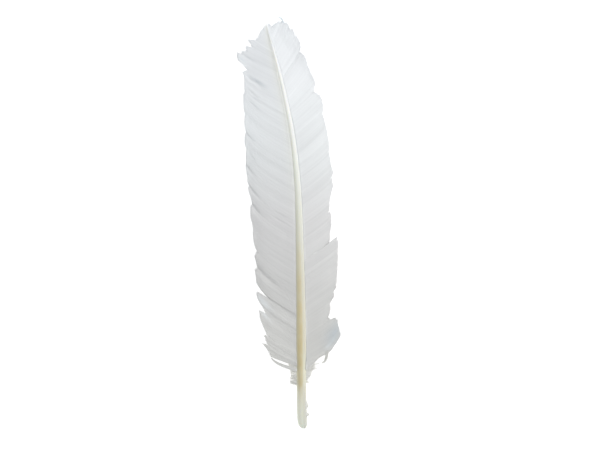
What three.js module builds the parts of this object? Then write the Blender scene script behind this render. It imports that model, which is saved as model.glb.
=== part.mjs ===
// Goose wing quill, laid down with its smooth outer face up and its tip towards +Y.
// Millimetres, +Z up. The barrel's end and the two edges near the tip touch the surface
// at z = 0, and the shaft arches up between them.
import * as THREE from 'three';

const { clamp, degToRad, lerp, smoothstep } = THREE.MathUtils;

// Driving dimensions.
const LENGTH = 289;            // end of the barrel to the end of the shaft
const GAP = 0.3;               // clearance between neighbouring pieces
const VANE_THICKNESS = 1.2;    // at the shaft
const EDGE_THICKNESS = 0.8;    // at the margin
const DOWN_THICKNESS = 2.4;
const SHEATH_THICKNESS = 0.35;

// The shaft's arch, seen from the side.
const ARCH = 11.5;             // rise above the line between its ends
const ARCH_SKEW = 1.4;         // above 1 the arch is highest nearer the barrel
const BARREL_AXIS = 1.8;       // height of the shaft's axis at the barrel's end
const TIP_AXIS = 0.8;          // and at the tip

// The shaft's run, seen from above.
const LEAN = 0.8;              // sideways offset of the straight lower shaft
const LEAN_SLOPE = 0.014;      // its sideways drift per mm of length
const END_KICK = 1.1;          // the barrel's end turns back by this much
const END_KICK_REACH = 3.8;    // over about this length
const SWEEP = 21.4;            // sideways sweep of the shaft at the tip
const SWEEP_START = 165;       // where the sweep begins
const SWEEP_POWER = 1.69;
const BENDS = [[90, 38, 0.28], [180, 26, -0.55], [238, 25, -0.2]];  // slight: [at, reach, by]

// Half width of the round shaft against distance from the barrel's end.
const shaftStations = [
  [0.0, 1.4], [1.5, 2.65], [3.5, 3.35], [8, 3.6], [14, 3.55], [22, 3.45], [30, 3.45],
  [40, 3.55], [64, 3.55], [110, 3.15], [150, 2.65], [190, 2.1], [222, 1.7], [265, 1.1],
  [285, 0.6], [LENGTH, 0.35],
];
const umbilicus = { radius: 0.8, depth: 1.8 };  // the small hole in the barrel's end
const shaftMesh = { rings: 66, ringSpread: 1.35, sides: 18 };

// Each web of barbs: side is -1 to the left of the shaft and 1 to the right. bow is how far
// a barb bends towards the barrel, as a share of its length. droop is how fast the web falls
// away from the shaft, in mm per mm squared, over the lower vane and at the tip. angles are
// between a barb's chord and the shaft, in degrees, against distance along the margin.
// margin runs from the barrel end up, as [sideways, along] in mm, and its teeth and slits
// are where neighbouring locks of barbs have come apart.
const innerAngles = [[34, 80], [52, 70], [62, 60], [100, 51], [200, 49], [250, 45], [291, 34]];
const outerAngles = [[34, 70], [54, 62], [80, 55], [150, 50], [200, 46], [250, 31], [291, 14]];
const innerDroop = { low: 0.0042, tip: 0.0066 };
const outerDroop = { low: 0.0060, tip: 0.0095 };
const DROOP_GROWS = [140, 250];  // where the droop changes from one to the other
const ROOT_LIFT = 0.35;          // height of the barbs' roots above the axis, in half widths

const webs = {
  inner_vane: {
    side: -1, bow: 0.09, thickness: VANE_THICKNESS, rowSpacing: 4.5, across: 5,
    angles: innerAngles, droop: innerDroop, material: 'vane',
    margin: [
      [-22.6, 51.6], [-24.0, 54.0], [-25.2, 56.4], [-29.2, 61.4], [-25.4, 61.8],
      [-27.7, 67.2], [-25.9, 68.2], [-28.1, 73.7], [-30.4, 79.6], [-31.0, 85.2],
      [-26.8, 83.6], [-29.5, 88.1], [-32.6, 93.0], [-32.9, 97.4], [-26.4, 95.8],
      [-29.5, 99.2], [-33.1, 105.3], [-33.1, 108.9], [-34.4, 114.7], [-32.5, 115.6],
      [-34.4, 122.6], [-32.8, 127.0], [-34.9, 132.0], [-36.0, 142.8], [-38.0, 157.0],
      [-37.4, 161.0], [-39.2, 171.6], [-41.0, 193.2], [-42.6, 219.0], [-41.0, 225.0],
      [-42.5, 234.2], [-41.8, 242.2], [-42.1, 250.0], [-42.8, 256.5], [-39.8, 257.8],
      [-45.2, 264.2], [-46.4, 270.2], [-42.9, 270.6], [-40.5, 275.0], [-36.9, 274.6],
      [-38.9, 279.0], [-34.6, 279.8], [-32.2, 282.4], [-30.2, 286.2], [-28.0, 289.4],
    ],
  },
  outer_vane: {
    side: 1, bow: 0.08, thickness: VANE_THICKNESS, rowSpacing: 4.5, across: 4,
    angles: outerAngles, droop: outerDroop, material: 'vane',
    margin: [
      [18.4, 55.8], [21.6, 59.3], [26.6, 66.8], [25.2, 74.4], [23.4, 80.2], [18.2, 80.6],
      [19.2, 86.0], [18.7, 90.2], [22.2, 95.0], [21.6, 98.2], [23.8, 102.0], [24.8, 121.2],
      [24.5, 132.0], [24.1, 138.4], [18.4, 134.6], [20.2, 142.1], [20.2, 148.5],
      [18.4, 167.3], [21.2, 176.6], [20.2, 180.2], [20.9, 184.0], [18.7, 193.2],
      [18.7, 203.3], [16.6, 214.8], [13.7, 223.4], [13.0, 233.0], [10.1, 240.7],
      [7.2, 242.4], [7.9, 247.2], [4.0, 258.7], [0.4, 268.8], [-2.8, 270.8], [-2.4, 278.0],
      [-6.5, 283.9], [-9.6, 287.4], [-12.0, 290.8], [-18.0, 291.4], [-22.2, 288.6],
      [-24.4, 291.0], [-26.0, 290.6],
    ],
  },
  inner_down: {
    side: -1, bow: 0.05, thickness: DOWN_THICKNESS, rowSpacing: 2, across: 2,
    angles: innerAngles, droop: innerDroop, material: 'down',
    margin: [
      [-5.8, 32.6], [-9.4, 33.2], [-8.8, 35.0], [-9.4, 36.4], [-8.6, 39.4], [-9.6, 41.4],
    ],
  },
  outer_down: {
    side: 1, bow: 0.05, thickness: DOWN_THICKNESS, rowSpacing: 2, across: 3,
    angles: outerAngles, droop: outerDroop, material: 'down',
    margin: [
      [4.0, 33.4], [3.4, 36.0], [6.0, 39.0], [6.6, 42.0], [9.0, 44.4], [13.8, 46.4],
      [17.0, 49.0], [16.6, 51.2],
    ],
  },
  // One barb of the inner vane, come away from the rest and standing off below it.
  stray_barb: {
    side: -1, bow: 0.2, thickness: EDGE_THICKNESS, across: 12,
    droop: innerDroop, material: 'vane',
    rows: [{ root: 42.4, x: -22.9, y: 49.8 }, { root: 43.3, x: -23.3, y: 50.4 }],
  },
};

// Scraps of dried sheath peeling off the barrel's outer side: their ends along the barrel,
// and how far their middle stands off it.
const sheathScraps = {
  sheath_scrap_upper: { from: 14.2, to: 20.6, lift: 1.0 },
  sheath_scrap_lower: { from: 9.2, to: 13.4, lift: 0.8 },
};
const SCRAP_ANGLES = [55, -15];  // round the barrel, from its outer side towards the top
const SCRAP_STEPS = 6;

const finishes = {
  horn: { color: 0xd9d4bd, roughness: 0.4, metalness: 0 },
  vane: { color: 0xe4e6e5, roughness: 0.75, metalness: 0 },
  down: { color: 0xd6d5d1, roughness: 0.9, metalness: 0 },
  sheath: { color: 0xd3d3c2, roughness: 0.6, metalness: 0 },
};

// Straight-line value at x from a list of [x, value] stations.
function between(stations, x) {
  const last = stations.length - 1;
  if (x <= stations[0][0]) return stations[0][1];
  if (x >= stations[last][0]) return stations[last][1];
  const i = stations.findIndex((station) => station[0] >= x);
  const [x0, value0] = stations[i - 1];
  const [x1, value1] = stations[i];
  return value0 + (value1 - value0) * (x - x0) / (x1 - x0);
}

const halfWidth = (y) => between(shaftStations, y);

// The shaft's centre line from above.
function shaftX(y) {
  const swept = Math.max(0, y - SWEEP_START) / (LENGTH - SWEEP_START);
  const kick = END_KICK * Math.exp(-Math.max(0, y) / END_KICK_REACH);
  const bends = BENDS.map(([at, reach, by]) => by * Math.exp(-(((y - at) / reach) ** 2)));
  const bent = bends.reduce((total, by) => total + by, kick);
  return bent - LEAN - LEAN_SLOPE * y - SWEEP * swept ** SWEEP_POWER;
}

// The height of its axis: a lopsided arch on the line between its ends.
function shaftZ(y) {
  const t = clamp(y / LENGTH, 0, 1);
  const crest = 1 / (1 + ARCH_SKEW);
  const crestValue = crest * (1 - crest) ** ARCH_SKEW;
  return lerp(BARREL_AXIS, TIP_AXIS, t) + ARCH * t * (1 - t) ** ARCH_SKEW / crestValue;
}

// Height of the middle of a web above a point, no lower than lying on the surface.
function webZ(x, y, droop, depth) {
  const root = shaftZ(y) + ROOT_LIFT * halfWidth(y);
  const fall = lerp(droop.low, droop.tip, smoothstep(y, ...DROOP_GROWS));
  return Math.max(depth / 2, root - fall * (x - shaftX(y)) ** 2);
}

// The root on the shaft of the barb that ends at a point of the margin.
function rootOf(x, y, angles) {
  const slope = Math.tan(degToRad(between(angles, y)));
  let root = y;
  for (let pass = 0; pass < 6; pass++) root = y - Math.abs(x - shaftX(root)) / slope;
  return root;
}

// The barbs along a margin, from its corners and evenly between them.
function barbRows({ margin, angles, rowSpacing }) {
  const [startX, startY] = margin[0];
  const rows = [{ root: rootOf(startX, startY, angles), x: startX, y: startY }];
  for (const [x, y] of margin.slice(1)) {
    const before = rows.at(-1);
    const root = Math.max(rootOf(x, y, angles), before.root + GAP);
    const distance = Math.hypot(x - before.x, y - before.y, root - before.root);
    const steps = Math.ceil(distance / rowSpacing);
    for (let step = 1; step <= steps; step++) {
      const t = step / steps;
      rows.push({
        root: lerp(before.root, root, t), x: lerp(before.x, x, t), y: lerp(before.y, y, t),
      });
    }
  }
  return rows;
}

// A box of many small faces, each corner moved to place(u, v, w), with u, v, w from 0 to 1.
function slab(acrossSteps, alongSteps, place) {
  const geometry = new THREE.BoxGeometry(1, 1, 1, acrossSteps, alongSteps, 1);
  const corners = geometry.attributes.position;
  for (let i = 0; i < corners.count; i++) {
    const [u, v, w] = [corners.getX(i), corners.getY(i), corners.getZ(i)];
    corners.setXYZ(i, ...place(u + 0.5, v + 0.5, w + 0.5));
  }
  geometry.computeVertexNormals();
  return geometry;
}

// One web of barbs as a thin slab that thins out to its margin.
function webGeometry(web) {
  const rows = web.rows ?? barbRows(web);
  const { side, bow, thickness } = web;
  const thinning = EDGE_THICKNESS / VANE_THICKNESS;
  return slab(web.across, rows.length - 1, (u, v, w) => {
    const row = rows[Math.round(v * (rows.length - 1))];
    const out = side > 0 ? u : 1 - u;
    const rootX = shaftX(row.root) + side * (halfWidth(row.root) + GAP);
    const [alongX, alongY] = [row.x - rootX, row.y - row.root];
    const bend = 4 * bow * out * (1 - out);
    const x = rootX + alongX * out + side * alongY * bend;
    const y = row.root + alongY * out - side * alongX * bend;
    const depth = thickness * lerp(1, thinning, out);
    return [x, y, webZ(x, y, web.droop, depth) + (w - 0.5) * depth];
  });
}

// The shaft: a turned profile from the hole in the barrel's end to the tip, bent along the
// centre line and flat where the barrel rests.
function shaftGeometry() {
  const { radius, depth } = umbilicus;
  const profile = [[0, depth], [radius, depth], [radius, 0]];
  for (let ring = 0; ring <= shaftMesh.rings; ring++) {
    const y = LENGTH * (ring / shaftMesh.rings) ** shaftMesh.ringSpread;
    profile.push([halfWidth(y), y]);
  }
  profile.push([0, LENGTH + halfWidth(LENGTH)]);
  const points = profile.map(([r, y]) => new THREE.Vector2(r, y));
  const geometry = new THREE.LatheGeometry(points, shaftMesh.sides);
  const corners = geometry.attributes.position;
  for (let i = 0; i < corners.count; i++) {
    const [x, y, z] = [corners.getX(i), corners.getY(i), corners.getZ(i)];
    corners.setXYZ(i, x + shaftX(y), y, Math.max(0, z + shaftZ(y)));
  }
  geometry.computeVertexNormals();
  return geometry;
}

// A curled scrap that wraps part of the barrel and stands off it in the middle.
function scrapGeometry({ from, to, lift }) {
  return slab(SCRAP_STEPS, SCRAP_STEPS, (u, v, w) => {
    const y = lerp(from, to, v);
    const around = degToRad(lerp(...SCRAP_ANGLES, u));
    const peel = lift * Math.sin(Math.PI * v) * lerp(0.35, 1, Math.sin(Math.PI * u));
    const radius = halfWidth(y) + GAP + w * SHEATH_THICKNESS + peel;
    return [shaftX(y) + radius * Math.cos(around), y, shaftZ(y) + radius * Math.sin(around)];
  });
}

const feather = new THREE.Group();

function addPiece(name, geometry, finish) {
  const piece = new THREE.Mesh(geometry, new THREE.MeshStandardMaterial(finishes[finish]));
  piece.name = name;
  feather.add(piece);
}

addPiece('quill_shaft', shaftGeometry(), 'horn');
for (const [name, web] of Object.entries(webs)) addPiece(name, webGeometry(web), web.material);
for (const [name, scrap] of Object.entries(sheathScraps)) {
  addPiece(name, scrapGeometry(scrap), 'sheath');
}

// The origin is at the middle of the footprint, on the surface.
const box = new THREE.Box3().setFromObject(feather);
const middle = box.getCenter(new THREE.Vector3());
feather.position.set(-middle.x, -middle.y, -box.min.z);

export default feather;
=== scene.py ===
import math
import bpy
import numpy as np
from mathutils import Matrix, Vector


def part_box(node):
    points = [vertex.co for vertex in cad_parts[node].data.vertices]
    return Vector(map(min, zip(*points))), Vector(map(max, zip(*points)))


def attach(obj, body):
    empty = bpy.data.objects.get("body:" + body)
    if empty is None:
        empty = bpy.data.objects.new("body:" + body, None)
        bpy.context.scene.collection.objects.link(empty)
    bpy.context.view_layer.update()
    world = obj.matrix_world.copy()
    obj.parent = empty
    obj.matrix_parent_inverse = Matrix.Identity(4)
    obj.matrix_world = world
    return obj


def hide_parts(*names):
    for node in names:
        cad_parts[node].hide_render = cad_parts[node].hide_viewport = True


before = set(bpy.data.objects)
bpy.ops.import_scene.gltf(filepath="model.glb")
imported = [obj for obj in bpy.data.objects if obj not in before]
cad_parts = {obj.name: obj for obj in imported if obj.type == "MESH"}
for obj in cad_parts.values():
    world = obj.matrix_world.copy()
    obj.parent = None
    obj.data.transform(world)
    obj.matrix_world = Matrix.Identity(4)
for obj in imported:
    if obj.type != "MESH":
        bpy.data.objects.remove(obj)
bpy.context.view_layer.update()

millimetre = 0.001

# The feather's plan, in mm: y runs from the barrel's end to the tip, x across, z up.
plan = {
    "length": 289,
    "arch": 11.5, "archSkew": 1.4, "barrelAxis": 1.8, "tipAxis": 0.8,
    "lean": 0.8, "leanSlope": 0.014, "endKick": 1.1, "kickReach": 3.8,
    "sweep": 21.4, "sweepStart": 165, "sweepPower": 1.69,
    "bends": [(90, 38, 0.28), (180, 26, -0.55), (238, 25, -0.2)],
    "leftmost": -46.4,            # the widest point of the inner vane
    "floorClearance": 0.45, "floorSoftness": 0.25, "lowest": 0.05,
    "droopGrows": (140, 250), "rootShadingChanges": (150, 230),
    "rootsAbove": 0.48, "seatReach": 9,          # the barbs' roots on the shaft's flank
    "rootInset": 0.84, "tipInset": 0.6, "insetChanges": 7,
    "rootsApart": 0.2, "lastRoot": 0.4,
    "turnPower": 2.3,             # how late along its length a barb turns
    "halfWidths": [
        (0, 1.4), (1.5, 2.65), (3.5, 3.35), (8, 3.6), (14, 3.55), (22, 3.45), (30, 3.45),
        (40, 3.55), (64, 3.55), (110, 3.15), (150, 2.65), (190, 2.1), (222, 1.75), (265, 1.2),
        (285, 0.65), (289, 0.35),
    ],
}
barrelEnd = Vector((
    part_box("inner_vane")[0].x - plan["leftmost"] * millimetre,
    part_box("quill_shaft")[0].y,
    0.0,
))


def halfWidth(y):
    return np.interp(y, *np.transpose(plan["halfWidths"]))


def shaftX(y):
    y = np.asarray(y, float)
    swept = np.maximum(0, y - plan["sweepStart"]) / (plan["length"] - plan["sweepStart"])
    kick = plan["endKick"] * np.exp(-np.maximum(0, y) / plan["kickReach"])
    bends = sum(much * np.exp(-((y - at) / reach) ** 2) for at, reach, much in plan["bends"])
    sweep = plan["sweep"] * swept ** plan["sweepPower"]
    return kick + bends - plan["lean"] - plan["leanSlope"] * y - sweep


def shaftZ(y):
    t = np.clip(np.asarray(y, float) / plan["length"], 0, 1)
    skew = plan["archSkew"]
    crest = 1 / (1 + skew)
    rise = plan["arch"] * t * (1 - t) ** skew / (crest * (1 - crest) ** skew)
    return plan["barrelAxis"] + (plan["tipAxis"] - plan["barrelAxis"]) * t + rise


def smooth(low, high, value):
    t = np.clip((value - low) / (high - low), 0, 1)
    return t * t * (3 - 2 * t)


def unit(vectors):
    return vectors / np.linalg.norm(vectors, axis=-1)[..., None]


# How far each point of a course lies along it.
def distances(points):
    run = np.linalg.norm(np.diff(points, axis=-2), axis=-1).cumsum(-1)
    return np.concatenate([np.zeros_like(run[..., :1]), run], -1)


def pointsAt(at, run, points):
    return np.stack([np.interp(at, run, axis) for axis in points.T], -1)


def toFrame(x, y, z):
    return barrelEnd + Vector((x, y, z)) * millimetre


def addObject(name, data):
    added = bpy.data.objects.new(name, data)
    bpy.context.scene.collection.objects.link(added)
    return added


# A mesh from points in mm and arrays of faces, each array with its own number of sides.
def addMesh(name, points, faceSets, uv=None, marks=None, rounded=True):
    mesh = bpy.data.meshes.new(name)
    loops = np.concatenate([faces.ravel() for faces in faceSets]).astype(np.int32)
    sides = np.concatenate([np.full(len(faces), faces.shape[1]) for faces in faceSets])
    starts = np.concatenate([[0], np.cumsum(sides)[:-1]]).astype(np.int32)
    mesh.vertices.add(len(points))
    placed = points * millimetre + np.array(barrelEnd)
    mesh.vertices.foreach_set("co", placed.astype(np.float32).ravel())
    mesh.loops.add(len(loops))
    mesh.loops.foreach_set("vertex_index", loops)
    mesh.polygons.add(len(sides))
    mesh.polygons.foreach_set("loop_start", starts)
    mesh.update(calc_edges=True)
    if uv is not None:
        layer = mesh.uv_layers.new(name="barbs")
        layer.uv.foreach_set("vector", uv[loops].astype(np.float32).ravel())
    for mark, values in (marks or {}).items():
        layer = mesh.attributes.new(mark, "FLOAT", "POINT")
        layer.data.foreach_set("value", values.astype(np.float32))
    mesh.polygons.foreach_set("use_smooth", np.full(len(sides), rounded))
    print(f"{name}: {(sides - 2).sum()} triangles")
    return addObject(name, mesh)


# Faces of closed tubes along many paths, from rings of corners [path, step, corner].
def tubeFaces(paths, steps, corners, first=0):
    path, step, corner = np.meshgrid(
        np.arange(paths), np.arange(steps - 1), np.arange(corners), indexing="ij")
    after = (corner + 1) % corners

    def index(ring, place):
        return first + (path * steps + ring) * corners + place
    walls = [index(step, corner), index(step, after), index(step + 1, after), index(step + 1, corner)]
    walls = np.stack(walls, -1).reshape(-1, 4)
    ends = np.arange(paths)[:, None] * steps * corners + first
    order = np.arange(corners)
    caps = np.vstack([ends + order[::-1], ends + (steps - 1) * corners + order])
    return walls, caps


# Round threads along courses of points [path, step, xyz], radius [path, step].
def threads(courses, radius, corners=3):
    way = unit(np.gradient(courses, axis=1))
    beside = unit(np.cross(way, (0.0, 0.0, 1.0)) + 1e-6)
    above = np.cross(way, beside)
    turn = 2 * np.pi * np.arange(corners) / corners
    ring = np.cos(turn)[:, None] * beside[:, :, None] + np.sin(turn)[:, None] * above[:, :, None]
    return courses[:, :, None] + radius[..., None, None] * ring


# Joins sets of rings [path, step, corner, xyz] into one mesh.
def addThreads(name, ringSets):
    points, walls, caps = [], [], []
    first = 0
    for rings in ringSets:
        wall, cap = tubeFaces(*rings.shape[:3], first)
        points.append(rings.reshape(-1, 3))
        walls.append(wall)
        caps.append(cap)
        first += len(points[-1])
    points = np.vstack(points)
    points[:, 2] = np.maximum(points[:, 2], plan["lowest"])
    return addMesh(name, points, [np.vstack(walls), np.vstack(caps)], rounded=False)


# The height of a vane: it leaves the shaft's flank and droops towards its margin.
def vaneZ(web, x, y):
    out = abs(x - shaftX(y))
    grown = smooth(*plan["droopGrows"], y)
    straight = web["droop"][0] + (web["droop"][1] - web["droop"][0]) * grown
    curved = web["curl"][0] + (web["curl"][1] - web["curl"][0]) * grown
    shoulder = plan["rootsAbove"] + web["seat"] * np.exp(-(out / plan["seatReach"]) ** 2)
    height = shaftZ(y) + shoulder * halfWidth(y) - straight * out - curved * out ** 2
    floor, softness = plan["floorClearance"], plan["floorSoftness"]
    return floor + softness * np.logaddexp(0, (height - floor) / softness)


# Gentle random waves from barb to barb, which also drift along the barbs.
def waves(random, count, shortest, longest, drift):
    size = random.uniform(shortest, longest, count)
    lean = random.uniform(-drift, drift, count)
    phase = random.uniform(0, 2 * np.pi, count)
    share = 1.8 * size / size.sum()

    def height(across, along):
        total = 0
        for i in range(count):
            turn = across / size[i] + along * lean[i]
            total = total + share[i] * np.sin(2 * np.pi * turn + phase[i])
        return total
    return height


# The course of a barb as complex numbers: outwards from the shaft, and i along it.
def barbCourse(leaving, arriving, steps):
    u = np.linspace(0, 1, steps)
    turned = u ** plan["turnPower"]
    angle = np.radians(leaving[:, None] + (arriving - leaving)[:, None] * turned)
    way = np.sin(angle) + 1j * np.cos(angle)
    path = np.cumsum((way[:, 1:] + way[:, :-1]) / 2, axis=1)
    return np.concatenate([np.zeros((len(angle), 1)), path], axis=1)


def barbAngles(web, y):
    at, leaving, arriving = np.transpose(web["angles"])
    return np.interp(y, at, leaving), np.interp(y, at, arriving)


# The longest of the barbs that leave the shaft near each one.
def longestNear(web, root, length):
    near = abs(root - root[:, None]) < web["lockReach"]
    return np.where(near, length, 0).max(1)


# A barb cut short at a notch has turned no further than its longer neighbours there.
def cutShort(leaving, arriving, length, longest):
    return leaving, leaving + (arriving - leaving) * (length / longest) ** plan["turnPower"]


# Where each barb leaves the shaft and where it ends, from the corners of the margin.
def barbRows(web, random):
    corners = np.array(web["margin"], float)
    root = corners[:, 1] - 10
    for attempt in range(12):
        out = web["side"] * (corners[:, 0] - shaftX(root))
        length = np.hypot(out, corners[:, 1] - root)
        longest = longestNear(web, root, length)
        angles = cutShort(*barbAngles(web, corners[:, 1]), length, longest)
        chord = barbCourse(*angles, 24)[:, -1]
        root = corners[:, 1] - out * chord.imag / chord.real
    for i in range(1, len(root)):
        root[i] = max(root[i], root[i - 1] + plan["rootsApart"])
    root = np.minimum(root, plan["length"] - plan["lastRoot"])
    step = np.diff(corners, axis=0)
    way = unit(corners - np.stack([shaftX(root), root], -1))
    way = (way[1:] + way[:-1]) / 2
    apart = abs(step[:, 0] * way[:, 1] - step[:, 1] * way[:, 0])
    cost = np.maximum(apart, np.diff(root) * abs(way[:, 0]))
    travelled = np.concatenate([[0], np.cumsum(cost)])
    at = np.arange(web["spacing"] / 2, travelled[-1], web["spacing"])
    at = at + random.uniform(-web["jitter"], web["jitter"], len(at)) * web["spacing"]
    return [np.interp(at, travelled, values) for values in (root, corners[:, 0], corners[:, 1])]


# Barbs cling together in small groups; no group reaches across a notch.
def groupBarbs(count, notches, web, random):
    group = np.zeros(count, int)
    place = np.zeros(count)
    start, number = 0, 0
    while start < count:
        end = min(count, start + int(random.integers(*web["clump"])))
        later = [notch for notch in notches if notch > start]
        if later and min(later) < end + 3:
            end = min(later)
        group[start:end] = number
        if end - start > 1:
            place[start:end] = np.linspace(-1, 1, end - start)
        number += 1
        start = end
    return group, place


# The barb, and the step along it, nearest to a place on a web.
def nearest(x, y, placeX, placeY):
    away = (x - placeX) ** 2 + (y - placeY) ** 2
    return np.unravel_index(np.argmin(away), away.shape)


# A crease that starts near the margin runs out over it, in shares of a barb's length.
nearMargin, overMargin = 0.88, 1.3


# Creases as (barb, its root, inner end, outer end, width, depth).
def listCreases(web, x, y, root, length):
    u = np.linspace(0, 1, x.shape[1])
    creases = []
    for startX, startY, run, width, depth in web["creases"]:
        barb, step = nearest(x, y, startX, startY)
        end = u[step] if u[step] < nearMargin else overMargin
        creases.append((barb, root[barb], end - run / length[barb], end, width, depth))
    return creases


# Fine creases between the groups of barbs.
def listCracks(web, group, root, length, random):
    cracks = []
    for barb in np.flatnonzero(np.diff(group)) + 1:
        run = random.uniform(*web["crackRun"])
        cracks.append((barb, root[barb], 1.1 - run / length[barb], overMargin,
                       random.uniform(*web["crackWidth"]), random.uniform(0, web["crack"])))
    return cracks


# How far each tip lies past the margin, the middle of a group furthest.
def tipReach(web, length, group, place, random):
    reach = random.normal(0, web["ragged"], group[-1] + 1)[group]
    reach = reach + web["point"] * (0.5 - place ** 2)
    reach = reach + random.normal(0, web["ragged"] * 0.4, len(group))
    reach = np.clip(reach, -0.1 * length, 0.05 * length)
    return reach + np.minimum(web["overhang"], 0.07 * length)


# How far each tip is drawn sideways to the others of its group.
def tipPull(web, tipX, tipY, wayX, wayY, group, random):
    members = np.bincount(group)
    centreX = (np.bincount(group, tipX) / members)[group]
    centreY = (np.bincount(group, tipY) / members)[group]
    across = (centreX - tipX) * wayY - (centreY - tipY) * wayX
    return web["gather"] * random.uniform(0.3, 1.0, len(members))[group] * across


# The waves and creases of a web, shifted along the shaft.
def makeRelief(web, root, creases, random):
    broad = waves(random, 7, *web["wave"], 0.5)
    fine = waves(random, 9, *web["fineWave"], 1.2)
    u = np.linspace(0, 1, web["steps"] + 1)[None, :]

    def relief(shift):
        at = root[:, None] + shift
        z = web["waveHeight"] * broad(at, u) * smooth(0.1, 0.75, u)
        z = z + web["fineHeight"] * fine(at, u) * smooth(0.2, 0.9, u)
        for barb, middle, inner, outer, width, depth in creases:
            fade = smooth(inner, inner + 0.25, u) * (1 - smooth(outer, outer + 0.15, u))
            z = z - depth * np.exp(-((at - middle) / width) ** 2) * fade
        return z
    return relief


# Directions at each point: across the barb and out of the web, both leaning over the next
# barb, and level with the web towards it.
def barbFrame(web, points, relief):
    x, y = points[..., 0], points[..., 1]
    along = unit(np.gradient(points, axis=1))
    flat = unit(np.stack([along[..., 1], -along[..., 0]], -1)) * web["side"]
    nudge = 0.2
    towards = vaneZ(web, x + flat[..., 0] * nudge, y + flat[..., 1] * nudge)
    back = vaneZ(web, x - flat[..., 0] * nudge, y - flat[..., 1] * nudge)
    slope = (towards - back - (relief(nudge) - relief(-nudge)) / abs(along[..., 0]).clip(0.4, 1))
    beside = unit(np.dstack([flat, slope / (2 * nudge)]))
    normal = unit(np.cross(beside, along) * web["side"])
    beside = np.cross(along, normal)
    tilt = math.radians(web["tilt"])
    across = beside * math.cos(tilt) + normal * math.sin(tilt)
    upward = normal * math.cos(tilt) - beside * math.sin(tilt)
    return across, upward, beside


# Half the width of each ribbon, from the room to its neighbours.
def halfRibbon(web, points, beside, left):
    u = np.linspace(0, 1, points.shape[1])[None, :]
    gap = abs((np.diff(points, axis=0) * beside[:-1]).sum(2))
    before, after = np.vstack([gap[:1], gap]), np.vstack([gap, gap[-1:]])
    bridging = np.where(u < web["bridgingEnds"], *web["bridging"])
    wide = np.minimum(np.maximum(before, after), bridging * np.minimum(before, after) + 0.05)
    wide = np.clip(wide, web["narrowest"], bridging * web["spacing"]) * web["cover"]
    return wide / 2 * (0.12 + 0.88 * smooth(-0.3, web["taper"], left))


# Tone and tint along the barbs, for the material: random tone from barb to barb, with
# painted light and shade (darker tips, painted shade or light at the roots, painted highlight,
# sheen and shadow spots) and their painted blue or warm tint.
def barbMarks(web, x, y, root, run, left, group, random):
    tone = 1 + web["toneVaries"] * random.normal(size=len(root))
    tone = tone + web["toneVaries"] * random.normal(size=group[-1] + 1)[group]
    # Tips painted darker: painted shade where the barb ends curl down.
    tone = tone[:, None] * (1 - web["edge"] * (1 - smooth(0, 1.3, left)))
    # Painted shade beside the shaft on the inner vane, painted light at the outer vane's roots
    # against the shadow of the crease there.
    rootShading = np.interp(root, plan["rootShadingChanges"], web["rootShading"])[:, None]
    reach = np.interp(root, plan["rootShadingChanges"], web["rootShadingReach"])[:, None]
    tone = tone * (1 + rootShading * (1 - smooth(0.15 * reach, reach, run)))
    # A warm painted shade beside the shaft, where the rachis shades the inner vane.
    chill = -web["shadowWarmth"] * np.exp(-(run / 5) ** 2) * smooth(120, 230, root)[:, None]
    # Spots: painted highlights, sheen and fold shadows with a painted blue, and some lighter or
    # darker tone.
    for spotX, spotY, long, broad, gain, shadeAndSheenBlue in web["spots"]:
        barb, step = nearest(x, y, spotX, spotY)
        away = ((run - run[barb, step]) / long) ** 2 + ((root - root[barb])[:, None] / broad) ** 2
        tone = tone * (1 + gain * np.exp(-away))
        chill = chill + shadeAndSheenBlue * np.exp(-away)
    return {"tone": np.repeat(tone.ravel(), 4), "chill": np.repeat(chill.ravel(), 4)}


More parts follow.
